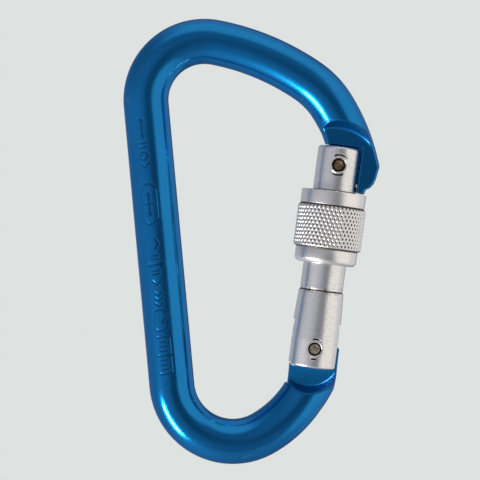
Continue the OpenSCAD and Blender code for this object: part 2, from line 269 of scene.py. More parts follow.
def cam_outline():
    """The hinge tongue from the side: its outer corner, hub, the cam and the inner edge."""
    opening, rise = 28.0, 1.2  # degrees the gate swings, and the pusher's travel over them
    tip_r, tip_h, gap = 1.4, 5.6, 0.05  # the pusher's tip, its height at rest, its clearance
    ledge, hub, corner = 0.7, 3.9, 6.1
    k = math.degrees(rise / opening)

    def cam(a):
        """Where the pusher's tip touches the tongue when the gate has swung by a degrees."""
        h = tip_h + rise * a / opening
        n = math.hypot(h, k)
        out, along = h - (tip_r + gap) * h / n, (tip_r + gap) * k / n
        s, c = math.sin(math.radians(a)), math.cos(math.radians(a))
        return -out * s - along * c, out * c - along * s

    crown = cam(opening + 8)
    reach = math.hypot(*crown)
    top = math.degrees(math.atan2(crown[1], crown[0]))
    return [
        (-5.2, ROOM_FOOT),
        (-5.2, -12),
        (6.15, -12),
        (6.15, -4.3),
        *arc(0, 0, corner, -4, math.degrees(math.asin(ledge / corner)), 2),
        *arc(0, 0, hub, math.degrees(math.asin(ledge / hub)), 88, 10),
        *[cam(a) for a in range(-10, int(opening) + 9, 2)],
        *arc(0, 0, reach, top + 5, 155, 4),
        (-5.3, 0),
        (-5.45, -4),
    ]


HINGE_OUTLINE = cam_outline()


def heel_field(x, y, z):
    """The bar's heel: the milled flats and the tongue that carries the gate."""
    off, far, past = offset_from(spine_end, FOOT_BENDS, HEEL_SPARE, x, z)
    wide = np.interp(far, *HEEL_SWELL)
    solid = np.maximum(np.hypot(off / wide, y) - BAR_R, past)
    u, w = to_gate(x, z)
    solid = less(solid, mill(u, y, w, *HEEL_MILL), 0.15)
    room = np.maximum(np.maximum(ROOM_FOOT - w, w - ROOM_TOP), np.abs(u) - ROOM_HALF)
    solid = less(solid, less(room, inside_polygon(HINGE_OUTLINE, u, w), 0.1), 0.2)
    return less(solid, np.hypot(u, w) - HINGE_BORE_R, 0.1)


EDGE, RELIEF, TAIL_ROUND = 0.45, 0.08, 1.5
GATE_PROFILE = [
    (-3, -GATE_TAIL),
    (BASE_R - EDGE, -GATE_TAIL),
    (BASE_R, EDGE - GATE_TAIL),
    (BASE_R, 2.0),
    (WAIST_R, SHOULDER - 0.25),
    (WAIST_R - 0.25, SHOULDER),
    (NECK_R - RELIEF, SHOULDER),
    (NECK_R - RELIEF, SHOULDER + 0.35),
    (NECK_R, SHOULDER + 0.4),
    (NECK_R, 35.0),
    (HEAD_R, 35.4),
    (HEAD_R, GATE_TOP - EDGE),
    (HEAD_R - EDGE, GATE_TOP),
    (-3, GATE_TOP),
]
HINGE_SLOT, HINGE_SLOT_TOP = 2.05, 6.3  # the first of each pair is a half width or a radius
LATCH_SLOT, LATCH_SLOT_END, LATCH_SLOT_FOOT = 1.5, TONGUE_END - 0.5, TONGUE_FOOT - 0.8
SPRING_BORE, SPRING_BORE_TOP = 1.9, 22
COUNTERSINK, COUNTERSINK_SLOPE, LATCH_SINK_FLOOR = 0.3, 0.8, 4.3
STAKE_R = 0.24
STAKES = [  # centre height, radius, middle of the arc in degrees, half its spread
    (0.0, 2.42, 82, 17),
    (0.0, 2.42, 262, 16),
    (PIN_GAP, 2.45, 78, 30),
    (PIN_GAP, 2.3, 265, 34),
]


def skin(r, u):
    """How far the surface of a round bar lies from its middle plane, at u from its axis."""
    return np.sqrt(np.maximum(r**2 - u * u, 0))


def gate_field(u, y, w):
    """The gate bar: turned outside, slotted at both ends, drilled for its pins and staked."""
    rho, depth = np.hypot(u, y), np.abs(y)
    solid = inside_polygon(GATE_PROFILE, rho, w)
    tail = np.hypot(np.maximum(TAIL_ROUND - BASE_R - u, 0), np.maximum(TAIL_ROUND - GATE_TAIL - w, 0))
    solid = both(solid, tail - TAIL_ROUND, 0.15)
    solid = less(solid, np.maximum(depth - HINGE_SLOT, w - HINGE_SLOT_TOP), 0.12)
    latch = both(both(depth - LATCH_SLOT, LATCH_SLOT_END - u, 0.3), LATCH_SLOT_FOOT - w, 0.1)
    solid = less(solid, latch, 0.12)
    solid = less(solid, np.maximum(rho - SPRING_BORE, w - SPRING_BORE_TOP), 0.05)
    sunk = np.clip(depth - skin(BASE_R, u) + COUNTERSINK, 0, 0.5)
    solid = less(solid, np.hypot(u, w) - HINGE_HOLE - COUNTERSINK_SLOPE * sunk, 0.04)
    around = np.hypot(u, w - PIN_GAP)
    solid = less(solid, around - LATCH_HOLE, 0.05)
    solid = less(solid, np.maximum(around - LATCH_SINK, LATCH_SINK_FLOOR - depth), 0.12)
    for height, r, middle, spread in STAKES:
        face = skin(BASE_R if height == 0 else HEAD_R, u)
        middle, spread = math.radians(middle), math.radians(spread)
        turned = (np.arctan2(w - height, u) - middle + math.pi) % (2 * math.pi) - math.pi
        held = middle + np.clip(turned, -spread, spread)
        beside, above = u - r * np.cos(held), w - height - r * np.sin(held)
        gap = np.sqrt(beside**2 + above**2 + (depth - face) ** 2)
        solid = less(solid, gap - STAKE_R, 0.06)
    return solid


# ---------------------------------------------------------------- meshing


def surface_net(field, lo, hi, step):
    """Quads over the zero surface of a field, with their corners near it."""
    counts = [int(math.ceil((b - a) / step)) + 1 for a, b in zip(lo, hi)]
    ax, ay, az = (lo[k] + step * np.arange(counts[k]) for k in range(3))
    value = field(ax[:, None, None], ay[None, :, None], az[None, None, :])
    value = np.broadcast_to(np.asarray(value, np.float32), counts)
    inner = value < 0
    cells = [n - 1 for n in counts]
    total = np.zeros([*cells, 3])
    hits = np.zeros(cells, np.int32)
    grids = np.meshgrid(*[np.arange(n) for n in cells], indexing="ij")
    # a cell's corner is the mean of the places where the surface crosses its edges
    for axis in range(3):
        for start in itertools.product(*[(0,) if k == axis else (0, 1) for k in range(3)]):
            low = tuple(slice(start[k], start[k] + cells[k]) for k in range(3))
            high = list(low)
            high[axis] = slice(1, cells[axis] + 1)
            high = tuple(high)
            a, b = value[low], value[high]
            crossed = inner[low] != inner[high]
            share = np.where(crossed, a / np.where(crossed, a - b, 1), 0)
            for k in range(3):
                along = share if k == axis else start[k]
                total[..., k] += np.where(crossed, grids[k] + along, 0)
            hits += crossed
    used = hits > 0
    number = -np.ones(cells, np.int64)
    number[used] = np.arange(used.sum())
    points = np.array(lo) + step * (total[used] / hits[used][:, None])
    # and every crossed edge has a quad, between the four cells round it
    quads = []
    for axis in range(3):
        o1, o2 = [k for k in range(3) if k != axis]
        low = [slice(1, cells[k]) for k in range(3)]
        low[axis] = slice(0, cells[axis])
        high = list(low)
        high[axis] = slice(1, cells[axis] + 1)
        a, b = inner[tuple(low)], inner[tuple(high)]
        corners = []
        for d1, d2 in ((0, 0), (1, 0), (1, 1), (0, 1)):
            cell = np.argwhere(a != b)
            cell[:, o1] += d1
            cell[:, o2] += d2
            corners.append(number[tuple(cell.T)])
        quad = np.stack(corners, 1)
        turn = a[a != b] if axis != 1 else ~a[a != b]
        quad[~turn] = quad[~turn][:, ::-1]
        quads.append(quad)
    return points, np.concatenate(quads)


def settle(field, p, rounds, limit):
    """Moves points on to the field's surface, straight down its slope."""
    e = 0.01
    for _ in range(rounds):
        change = [field(*(p + e * axis).T) - field(*(p - e * axis).T) for axis in np.eye(3)]
        slope = np.stack(change, 1) / (2 * e)
        step = field(*p.T) / np.maximum((slope * slope).sum(1), 0.2)
        p = p - np.clip(step, -limit, limit)[:, None] * slope
    return p


def net(field, lo, hi, step):
    """A surface net with evenly spread corners that lie on the surface."""
    p, quads = surface_net(field, lo, hi, step)
    p = settle(field, p, 2, step)
    sides = np.concatenate([quads[:, [i, (i + 1) % 4]] for i in range(4)])
    sides = np.unique(np.sort(sides, 1), axis=0)
    ends = np.concatenate([sides[:, 0], sides[:, 1]])
    others = np.concatenate([sides[:, 1], sides[:, 0]])
    degree = np.bincount(ends, minlength=len(p))
    for _ in range(4):
        sums = np.stack([np.bincount(ends, p[others, k], len(p)) for k in range(3)], 1)
        p = settle(field, 0.5 * (p + sums / np.maximum(degree, 1)[:, None]), 1, step)
    return settle(field, p, 2, step), quads


def mesh_object(name, points, faces, place=None):
    """A smooth mesh object from points in millimetres."""
    mesh = bpy.data.meshes.new(name)
    metres = np.asarray(points, float) * MM
    mesh.from_pydata([tuple(p) for p in metres], [], [tuple(map(int, f)) for f in faces])
    mesh.validate()
    bm = bmesh.new()
    bm.from_mesh(mesh)
    bmesh.ops.remove_doubles(bm, verts=bm.verts, dist=1e-8)
    bmesh.ops.recalc_face_normals(bm, faces=bm.faces)
    bm.to_mesh(mesh)
    bm.free()
    mesh.polygons.foreach_set("use_smooth", [True] * len(mesh.polygons))
    obj = bpy.data.objects.new(name, mesh)
    bpy.context.scene.collection.objects.link(obj)
    if place is not None:
        obj.matrix_world = place
    return obj


def cut_at(points, quads, at, direction):
    """The part of a net past a plane, and its cut edge as a list of point numbers."""
    mesh = bpy.data.meshes.new("cut")
    mesh.from_pydata([tuple(p) for p in points], [], [tuple(map(int, q)) for q in quads])
    bm = bmesh.new()
    bm.from_mesh(mesh)
    bpy.data.meshes.remove(mesh)
    geom = bm.verts[:] + bm.edges[:] + bm.faces[:]
    bmesh.ops.bisect_plane(
        bm, geom=geom, dist=1e-5, plane_co=at, plane_no=direction, clear_inner=True
    )
    bm.verts.index_update()
    open_ends = {v for e in bm.edges if len(e.link_faces) == 1 for v in e.verts}
    past = {v.index: (v.co - Vector(at)).dot(Vector(direction)) for v in open_ends}
    edge = sorted(index for index, gap in past.items() if abs(gap) < 1e-3)
    p = np.array([tuple(v.co) for v in bm.verts])
    f = [[v.index for v in face.verts] for face in bm.faces]
    bm.free()
    return p, f, edge


def zip_rings(a, angles_a, b, angles_b):
    """Triangles between two closed rings of point numbers, each sorted by angle."""
    order_a, order_b = np.argsort(angles_a), np.argsort(angles_b)
    a, ta = [a[i] for i in order_a], [angles_a[i] for i in order_a]
    b, tb = [b[i] for i in order_b], [angles_b[i] for i in order_b]
    i = j = 0
    faces = []
    while i < len(a) or j < len(b):
        next_a = ta[i + 1] if i + 1 < len(a) else ta[0] + 2 * math.pi
        next_b = tb[j + 1] if j + 1 < len(b) else tb[0] + 2 * math.pi
        if j >= len(b) or (i < len(a) and next_a <= next_b):
            faces.append((a[i % len(a)], a[(i + 1) % len(a)], b[j % len(b)]))
            i += 1
        else:
            faces.append((a[i % len(a)], b[(j + 1) % len(b)], b[j % len(b)]))
            j += 1
    return faces


# ---------------------------------------------------------------- stamped marks on the spine


def stroke_list():
    """Plain load arrows, link signs and gauge ticks, as strokes (down the spine, across it)."""
    strokes = []

    def line(*points):
        strokes.extend(zip(points[:-1], points[1:]))

    def arrow(start, end, head=0.75, spread=0.62):
        line(start, end)
        along = math.atan2(end[1] - start[1], end[0] - start[0])
        for (s, v), turn in ((start, 0), (end, math.pi)):
            for side in (spread, -spread):
                a = along + turn + side
                line((s, v), (s + head * math.cos(a), v + head * math.sin(a)))

    # an arrow, two bars, a ring and an angle
    arrow((3.4, -1.3), (8.0, -1.3))
    for s in (9.3, 10.3):
        line((s, -2.5), (s, -0.1))
    line(*arc(12.4, -1.3, 0.95, 0, 360, 12))
    line((14.2, -2.4), (15.2, -1.3), (14.2, -0.2))
    # a chain link with a crossed arrow inside it
    middle, half, corner = -1.1, 2.15, 1.4
    low, high = middle - half, middle + half
    for v in (low, high):
        line((20.6, v), (27.4, v))
    for s, out in ((20.6, -corner), (27.4, corner)):
        line((s, low), (s + out, low + corner), (s + out, high - corner), (s, high))
    arrow((21.2, middle), (26.8, middle))
    line((24.0, -2.2), (24.0, 0.0))
    # an angle, an arrow across between bars, and more angles
    line((32.4, -0.6), (33.6, 0.2), (34.8, -0.6))
    arrow((38.6, -3.0), (38.6, 1.0))
    for s in (36.4, 37.2, 40.0, 40.8):
        line((s, -1.9), (s, -0.1))
    line((42.4, -2.2), (43.4, -1.0), (42.4, 0.2))
    for s in (45.2, 46.5, 47.8):
        line((s, -1.9), (s + 0.8, -0.9), (s, 0.1))
    # an open link with a short stroke in its mouth
    for s, inward in ((49.4, 1), (54.4, -1)):
        line((s + 0.6 * inward, 0.6), (s, -0.2), (s, -2.0), (s + 0.8 * inward, -2.7))
    line((50.2, -2.7), (53.6, -2.7))
    line((50.6, 0.9), (52.6, -0.6))
    # a gauge, with a long tick at every fourth
    for i in range(9):
        s = 56.0 + 1.1 * i
        reach = 1.5 if i % 4 == 0 else 0.85
        line((s, -0.8 - reach), (s, -0.8 + reach))
    line((56.0, 1.1), (64.8, 1.1))
    return strokes


MARK_DEPTH, RIM_HEIGHT = 0.09, 0.015
FLOOR_HALF, FLANK = 0.04, 0.28  # of a stroke
RIM_AT, RIM_WIDTH = 0.42, 0.12  # from a stroke's middle


def stamp_depth(s, v):
    """How far the stamped surface lies below the round bar, in millimetres."""
    gap = np.full(s.shape, 9.0)
    for (s0, v0), (s1, v1) in stroke_list():
        es, ev = s1 - s0, v1 - v0
        length = max(es * es + ev * ev, 1e-9)
        t = np.clip(((s - s0) * es + (v - v0) * ev) / length, 0, 1)
        gap = np.minimum(gap, np.hypot(s - s0 - es * t, v - v0 - ev * t))
    edge = np.clip((gap - FLOOR_HALF) / FLANK, 0, 1)
    groove = 1 - edge * edge * (3 - 2 * edge)
    rim = np.exp(-(((gap - RIM_AT) / RIM_WIDTH) ** 2))
    # a flat stamp bites less where the bar curves away from it
    fade = 1 - 0.55 * np.clip((-1.2 - v) / 1.5, 0, 1)
    return (MARK_DEPTH * groove - RIM_HEIGHT * rim) * fade


# ---------------------------------------------------------------- the bar

NET_STEP, GATE_STEP = 0.22, 0.2
RING_STEP, PLAIN_STEP, MARK_STEP = 0.62, 0.6, 0.18  # along the bends, the spine and its marks
MARK_COLUMNS = np.arange(-46, 24.1, 1.7)  # degrees from the bar's front towards the loop's inside
PLAIN_COLUMNS = 42
# where the swept part ends: into the bend above the nose, and into the rise to the heel
NOSE_SEAM, HEEL_SEAM = 2.0, 3.0
NOSE_BOX = ((19.0, -6.4, -37.0), (43.0, 6.4, 3.0))
HEEL_BOX = ((8.0, -6.4, -96.0), (37.0, 6.4, -57.0))
GATE_BOX = ((-6.6, -6.6, -5.4), (6.6, 6.6, 49.6))


def rings_along(state, bends, step):
    """States along bends, without the first one."""
    out = []
    for r, turn in bends:
        steps = max(1, math.ceil(r * math.radians(abs(turn)) / step))
        out += [after(state, (r, turn * k / steps)) for k in range(1, steps + 1)]
        state = out[-1]
    return out


def spine_runs():
    """How far down the spine its rings are, from the foot up: close together over the marks."""
    plain_top = np.arange(0, MARKS_FROM, PLAIN_STEP)
    marked = np.arange(MARKS_FROM, MARKS_TO, MARK_STEP)
    plain_foot = np.arange(MARKS_TO + 0.2, SPINE_LEN, PLAIN_STEP)
    return np.concatenate([plain_top, marked, plain_foot, [SPINE_LEN]])[::-1]


def sweep(states, columns, reach):
    """Rings of points round the bar's states, at these angles and distances from its axis."""
    x, z, h = states.T[:, :, None]
    off = -np.sin(columns) * reach
    return np.stack([x - np.sin(h) * off, -np.cos(columns) * reach, z + np.cos(h) * off], 2)


def machined_end(field, box, seam, sign):
    """A net over one end of the bar: points, faces, its open edge and the angles along that."""
    x, z, h = seam
    at = (x, 0.0, z)
    p, quads = net(field, *box, NET_STEP)
    p, faces, edge = cut_at(p, quads, at, (sign * math.cos(h), 0.0, sign * math.sin(h)))
    rel = p[edge] - np.array(at)
    beside = rel[:, 2] * math.cos(h) - rel[:, 0] * math.sin(h)
    scale = BAR_R / np.hypot(beside, rel[:, 1])
    p[edge] = np.array(at) + rel * scale[:, None]
    return p, faces, edge, np.arctan2(-beside, -rel[:, 1])


def build_bar():
    """The swept and stamped bar, zipped to nets over its two machined ends."""
    brow_r, rise_r = TOP_BENDS[2][0], FOOT_BENDS[1][0]
    brow = (brow_r, -math.degrees(NOSE_SEAM / brow_r))
    rise = (rise_r, math.degrees(HEEL_SEAM / rise_r))
    *upper, nose_seam = rings_along(spine_top, [*TOP_BENDS[:2], brow], RING_STEP)
    foot = rings_along(spine_end, [FOOT_BENDS[0], rise], RING_STEP)
    heel_seam, *lower = [(x, z, h + math.pi) for x, z, h in foot[::-1]]
    runs = spine_runs()
    down = (*spine_top[:2], spine_top[2] + math.pi)
    spine = [(*ahead(down, run)[:2], spine_top[2]) for run in runs]
    states = np.array([*lower, *spine, *upper])
    plain = np.linspace(MARK_COLUMNS[-1], MARK_COLUMNS[0] + 360, PLAIN_COLUMNS + 2)[1:-1]
    columns = np.radians([*MARK_COLUMNS, *plain])
    own = np.arctan2(np.sin(columns), np.cos(columns))
    reach = np.full((len(states), len(columns)), BAR_R)
    on_spine = slice(len(lower), len(lower) + len(runs))
    reach[on_spine] -= stamp_depth(*np.meshgrid(runs, own * BAR_R, indexing="ij"))
    number = np.arange(reach.size).reshape(reach.shape)
    turned = np.roll(number, -1, 1)
    quads = np.stack([number[:-1], turned[:-1], turned[1:], number[1:]], 2).reshape(-1, 4)
    points, faces, count = [sweep(states, columns, reach).reshape(-1, 3)], [*quads], number.size
    for end, ring in (
        (machined_end(nose_field, NOSE_BOX, nose_seam, 1), number[-1]),
        (machined_end(heel_field, HEEL_BOX, heel_seam, -1), number[0]),
    ):
        end_points, end_faces, edge, around = end
        points.append(end_points)
        faces += [[i + count for i in face] for face in end_faces]
        faces += zip_rings([i + count for i in edge], around, ring, own)
        count += len(end_points)
    return mesh_object("bent_bar", np.concatenate(points), faces)


bar = build_bar()
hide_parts("frame")
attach(bar, "body")

# ---------------------------------------------------------------- the gate

points, quads = net(gate_field, *GATE_BOX, GATE_STEP)
gate = mesh_object("gate_bar", points, quads, GATE_PLACE)
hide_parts("gate")
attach(gate, "gate")


def lathe(name, profile, columns, place=None):
    """A turned piece about Z from (radius, height) points, capped where its ends are on the axis."""
    angles = 2 * math.pi * np.arange(columns) / columns
    points, faces, rings = [], [], []
    for r, h in profile:
        if r < 1e-6:
            rings.append([len(points)])
            points.append((0, 0, h))
        else:
            rings.append(list(range(len(points), len(points) + columns)))
            points += [(r * math.cos(a), r * math.sin(a), h) for a in angles]
    for a, b in zip(rings[:-1], rings[1:]):
        for i in range(columns):
            k = (i + 1) % columns
            if len(a) == 1:
                faces.append((a[0], b[k], b[i]))
            elif len(b) == 1:
                faces.append((a[i], a[k], b[0]))
            else:
                faces.append((a[i], a[k], b[k], b[i]))
    return mesh_object(name, points, faces, place)


def pin_profile(r, half, dish, chamfer):
    """Half a pin, from the middle of one end to the middle of the other."""
    end = [(0.0, half - dish), (r * 0.35, half - dish * 0.9), (r * 0.62, half - dish * 0.45)]
    end += [(r * 0.8, half - 0.02), (r - chamfer, half), (r - chamfer * 0.3, half - chamfer * 0.3)]
    end += [(r, half - chamfer), (r, half - 2 * chamfer)]
    return [(a, -b) for a, b in end] + [(a, b) for a, b in end[::-1]]


ACROSS = Matrix.Rotation(math.pi / 2, 4, "X")
PIN_COLUMNS = 72
hinge_pin = lathe(
    "hinge_rivet",
    pin_profile(HINGE_PIN_R, HINGE_PIN_HALF, dish=0.1, chamfer=0.25),
    PIN_COLUMNS,
    GATE_PLACE @ ACROSS,
)
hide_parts("hinge_pin")
latch_pin = lathe(
    "latch_rivet",
    pin_profile(LATCH_PIN_R, LATCH_PIN_HALF, dish=0.25, chamfer=0.15),
    PIN_COLUMNS,
    GATE_PLACE @ Matrix.Translation((0, 0, PIN_GAP * MM)) @ ACROSS,
)
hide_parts("latch_pin")
for piece in (hinge_pin, latch_pin):
    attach(piece, "gate")

# ---------------------------------------------------------------- the sleeve

KNURL_FOOT, KNURL_TOP, KNURL_R = 24.2, 34.5, 8.2
KNURL_STARTS, KNURL_RISE, KNURL_DEPTH, KNURL_EDGE = 50, 1.8, 0.3, 0.4
KNURL_RINGS, COLUMNS = 81, KNURL_STARTS * 8
RIDGE_REACH, RIDGE_FLANK = 0.8, 0.5  # of half the distance between two ridges


def knurl_radius(h, angle):
    """The knurled surface: two crossing sets of flat-topped ridges, with pits between them."""
    turn = angle / (2 * math.pi) * KNURL_STARTS
    ridges = []
    for side in (1, -1):
        phase = (turn + side * (h - KNURL_FOOT) / KNURL_RISE) % 1
        ridges.append(np.clip((RIDGE_REACH - np.abs(2 * phase - 1)) / RIDGE_FLANK, 0, 1))
    ridge = np.maximum(*ridges)
    from_end = np.minimum(h - KNURL_FOOT, KNURL_TOP - h)
    bevel = np.clip(KNURL_EDGE - from_end, 0, KNURL_EDGE)
    return KNURL_R - np.maximum(KNURL_DEPTH * (1 - ridge), bevel)


def build_sleeve():
    """The sleeve: rounded collar, knurled band, rim, coned mouth, and the ring's seat in its bore."""
    collar_r, lip_r, bore_r, round_r = 7.5, 7.8, 5.25, 1.2
    mouth_r, seat_r, mouth_floor = 7.6, 7.16, SLEEVE_TOP - 1.8
    ring_r, ring_low, ring_high = 6.3, 21.6, 22.8
    foot = [(bore_r + 0.35, SLEEVE_FOOT), (bore_r + 0.5, SLEEVE_FOOT)]
    foot += [(r, SLEEVE_FOOT) for r in (6.0, collar_r - round_r - 0.05)]
    foot += arc(collar_r - round_r, SLEEVE_FOOT + round_r, round_r, -90, 0, 12)
    foot += [(collar_r, SLEEVE_FOOT + round_r + 0.1), (collar_r, KNURL_FOOT - 0.25)]
    foot += [(collar_r - 0.05, KNURL_FOOT - 0.18), (collar_r - 0.05, KNURL_FOOT)]
    lip = [(lip_r - 0.1, KNURL_TOP), (lip_r - 0.1, KNURL_TOP + 0.15)]
    lip += [(lip_r, KNURL_TOP + 0.25), (lip_r, KNURL_TOP + 0.35)]
    lip += [(lip_r, SLEEVE_TOP - 0.2), (lip_r - 0.02, SLEEVE_TOP - 0.08)]
    lip += [(lip_r - 0.08, SLEEVE_TOP - 0.01), (lip_r - 0.12, SLEEVE_TOP)]
    lip += [(mouth_r, SLEEVE_TOP), (mouth_r - 0.02, SLEEVE_TOP - 0.04)]
    lip += [(seat_r + 0.02, mouth_floor + 0.03), (seat_r - 0.03, mouth_floor)]
    lip += [(bore_r + 0.25, mouth_floor), (bore_r, mouth_floor - 0.25)]
    inside = [(bore_r, ring_high + 0.1), (bore_r, ring_high), (ring_r, ring_high)]
    inside += [(ring_r, ring_low), (bore_r, ring_low), (bore_r, ring_low - 0.1)]
    inside += [(bore_r, SLEEVE_FOOT + 0.4), (bore_r + 0.05, SLEEVE_FOOT + 0.3)]
    angles = 2 * math.pi * np.arange(COLUMNS) / COLUMNS
    band = [(knurl_radius(h, angles), h) for h in np.linspace(KNURL_FOOT, KNURL_TOP, KNURL_RINGS)]
    rings = [*foot, *band, *lip, *inside]
    radius = np.array([np.broadcast_to(r, COLUMNS) for r, _ in rings])
    height = np.repeat([[h] for _, h in rings], COLUMNS, 1)
    points = np.stack([radius * np.cos(angles), radius * np.sin(angles), height], 2)
    number = np.arange(points.shape[0] * COLUMNS).reshape(-1, COLUMNS)
    above, turned = np.roll(number, -1, 0), np.roll(number, -1, 1)
    quads = np.stack([number, turned, np.roll(turned, -1, 0), above], 2).reshape(-1, 4)
    return mesh_object("knurled_sleeve", points.reshape(-1, 3), quads, GATE_PLACE)


sleeve = build_sleeve()
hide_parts("sleeve")
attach(sleeve, "sleeve")

# ---------------------------------------------------------------- the spring inside the gate


def build_spring():
    """A coil whose end turns lie close together."""
    per_turn, sides, turns, end_turns, clear = 36, 10, 9, 1.4, 0.02
    count = per_turn * turns
    t = np.arange(count + 1) / count
    flat = end_turns / turns
    climb = np.clip((t - flat) / (1 - 2 * flat), 0, 1)
    low, high = SPRING_LOW + WIRE_R + clear, SPRING_HIGH - WIRE_R - clear
    end_rise = 2.448 * WIRE_R  # over the turns at one end
    body = low + end_rise + (high - low - 2 * end_rise) * climb
    first, last = low + end_rise * t / flat, high - end_rise * (1 - t) / flat
    h = np.where(t < flat, first, np.where(t > 1 - flat, last, body))
    a = 2 * math.pi * turns * t
    points = []
    for hi, ai in zip(h, a):
        for j in range(sides):
            b = 2 * math.pi * j / sides
            r = SPRING_R + WIRE_R * math.cos(b)
            points.append((r * math.cos(ai), r * math.sin(ai), hi + WIRE_R * math.sin(b)))
    faces = []
    for i in range(count):
        for j in range(sides):
            k = (j + 1) % sides
            faces.append((i * sides + j, i * sides + k, (i + 1) * sides + k, (i + 1) * sides + j))
    faces.append(tuple(range(sides))[::-1])
    faces.append(tuple(count * sides + j for j in range(sides)))
    return mesh_object("coil_spring", points, faces, GATE_PLACE)


spring = build_spring()
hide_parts("gate_spring")
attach(spring, "gate")
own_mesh(spring)

# ---------------------------------------------------------------- materials


class Tree:
    """Short calls for a node tree."""

    def __init__(self, tree):
        self.tree = tree
        tree.nodes.clear()

    def node(self, kind):
        return self.tree.nodes.new(kind)

    def feed(self, socket, value):
        """Gives a socket a number or a colour, or links another socket to it."""
        if isinstance(value, bpy.types.NodeSocket):
            self.tree.links.new(value, socket)
        else:
            socket.default_value = value

    def math(self, operation, *values):
        n = self.node("ShaderNodeMath")
        n.operation = operation
        for socket, value in zip(n.inputs, values):
            self.feed(socket, value)
        return n.outputs[0]

    def times(self, a, b):
        return self.math("MULTIPLY", a, b)

    def times_plus(self, a, b, c):
        return self.math("MULTIPLY_ADD", a, b, c)

    def size(self, value):
        return self.math("ABSOLUTE", value)

    def other(self, share):
        """What a share leaves of 1."""
        return self.math("SUBTRACT", 1.0, share)

    def most(self, first, *others):
        for value in others:
            first = self.math("MAXIMUM", first, value)
        return first

    def step(self, value, low, high):
        """0 below low, 1 above high, and smooth between."""
        n = self.node("ShaderNodeMapRange")
        n.interpolation_type = "SMOOTHSTEP"
        self.feed(n.inputs["Value"], value)
        n.inputs["From Min"].default_value = low
        n.inputs["From Max"].default_value = high
        return n.outputs["Result"]

    def within(self, value, low, high, soft):
        """1 between low and high, and 0 at a distance of soft outside them."""
        inside = self.other(self.step(value, high, high + soft))
        return self.times(self.step(value, low - soft, low), inside)

    def split(self, vector):
        n = self.node("ShaderNodeSeparateXYZ")
        self.feed(n.inputs[0], vector)
        return n.outputs

    def length(self, a, b):
        """How far (a, b) is from (0, 0)."""
        return self.math("SQRT", self.times_plus(a, a, self.times(b, b)))

    def mix(self, share, a, b):
        """A colour between two, which are sockets or (red, green, blue)."""
        n = self.node("ShaderNodeMix")
        n.data_type = "RGBA"
        self.feed(n.inputs[0], share)
        for socket, colour in ((n.inputs[6], a), (n.inputs[7], b)):
            self.feed(socket, (*colour, 1) if isinstance(colour, tuple) else colour)
        return n.outputs[2]

    def noise(self, vector, scale, detail=3.0, rough=0.5, stretch=None):
        """Noise with so many spots to the metre, also drawn out by (x, y, z) factors."""
        if stretch is not None:
            m = self.node("ShaderNodeMapping")
            m.inputs["Scale"].default_value = stretch
            self.feed(m.inputs["Vector"], vector)
            vector = m.outputs[0]
        n = self.node("ShaderNodeTexNoise")
        self.feed(n.inputs["Vector"], vector)
        n.inputs["Scale"].default_value = scale
        n.inputs["Detail"].default_value = detail
        n.inputs["Roughness"].default_value = rough
        return n.outputs["Fac"]


def shade(colour, share):
    """A colour made darker."""
    return tuple(c * share for c in colour)


def material(name, build):
    """A material whose nodes build(tree, coords, shader) makes."""
    m = bpy.data.materials.new(name)
    m.use_nodes = True
    t = Tree(m.node_tree)
    coords = t.node("ShaderNodeTexCoord").outputs["Object"]
    shader = t.node("ShaderNodeBsdfPrincipled")
    t.feed(t.node("ShaderNodeOutputMaterial").inputs["Surface"], shader.outputs[0])
    build(t, coords, shader)
    return m


def set_bump(t, shader, height, distance, strength):
    """Fine relief, whose depth is in millimetres."""
    bump = t.node("ShaderNodeBump")
    bump.inputs["Strength"].default_value = strength
    bump.inputs["Distance"].default_value = distance * MM
    t.feed(bump.inputs["Height"], height)
    t.feed(shader.inputs["Normal"], bump.outputs[0])


def milled(t, x, z, cut):
    """1 where a face mill went, out to the top of its wall."""
    (beside, along), r = cut[:2]
    middle = GATE_PLACE @ Vector((beside * MM, 0, along * MM))
    gap = t.length(t.math("SUBTRACT", x, middle.x), t.math("SUBTRACT", z, middle.z))
    return t.other(t.step(gap, (r + 1.6) * MM, (r + 1.9) * MM))


def mill_wall(t, x, y, z, cut):
    """1 on the wall of a face mill, outside its flats."""
    half = cut[2]
    off_flat = t.step(t.size(y), (half + 0.03) * MM, (half + 0.25) * MM)
    return t.times(off_flat, milled(t, x, z, cut))


def stamped(t, x, y, z):
    """1 in the stamped strokes, which lie nearer to the spine's axis than the round bar."""
    run, off = (
        t.times_plus(x, a, t.times_plus(z, b, -(spine_top[0] * a + spine_top[1] * b) * MM))
        for a, b in (SPINE_DOWN, (-SPINE_DOWN[1], SPINE_DOWN[0]))
    )
    sunk = t.other(t.step(t.length(off, y), (BAR_R - 0.06) * MM, (BAR_R - 0.012) * MM))
    return t.times(sunk, t.within(run, (MARKS_FROM + 0.1) * MM, (MARKS_TO - 0.2) * MM, 0.1 * MM))


BLUE, BLUE_CLOUD, BLUE_WORN = (0.002, 0.19, 0.49), (0.003, 0.215, 0.54), (0.12, 0.36, 0.62)
# painted shade: the colours of the stamped strokes and of the walls of the mills
BLUE_MARK_SHADE, BLUE_WALL_SHADE = (0.001, 0.05, 0.17), (0.001, 0.07, 0.22)
# painted light: the lighter blues of the flats at the hinge, laid over the streaks of the mill
BLUE_FLAT_LIT, BLUE_STREAK_LIT = (0.004, 0.20, 0.52), (0.007, 0.29, 0.70)
BLUE_TINT = (0.3, 0.55, 0.8)  # of what it mirrors at a low angle


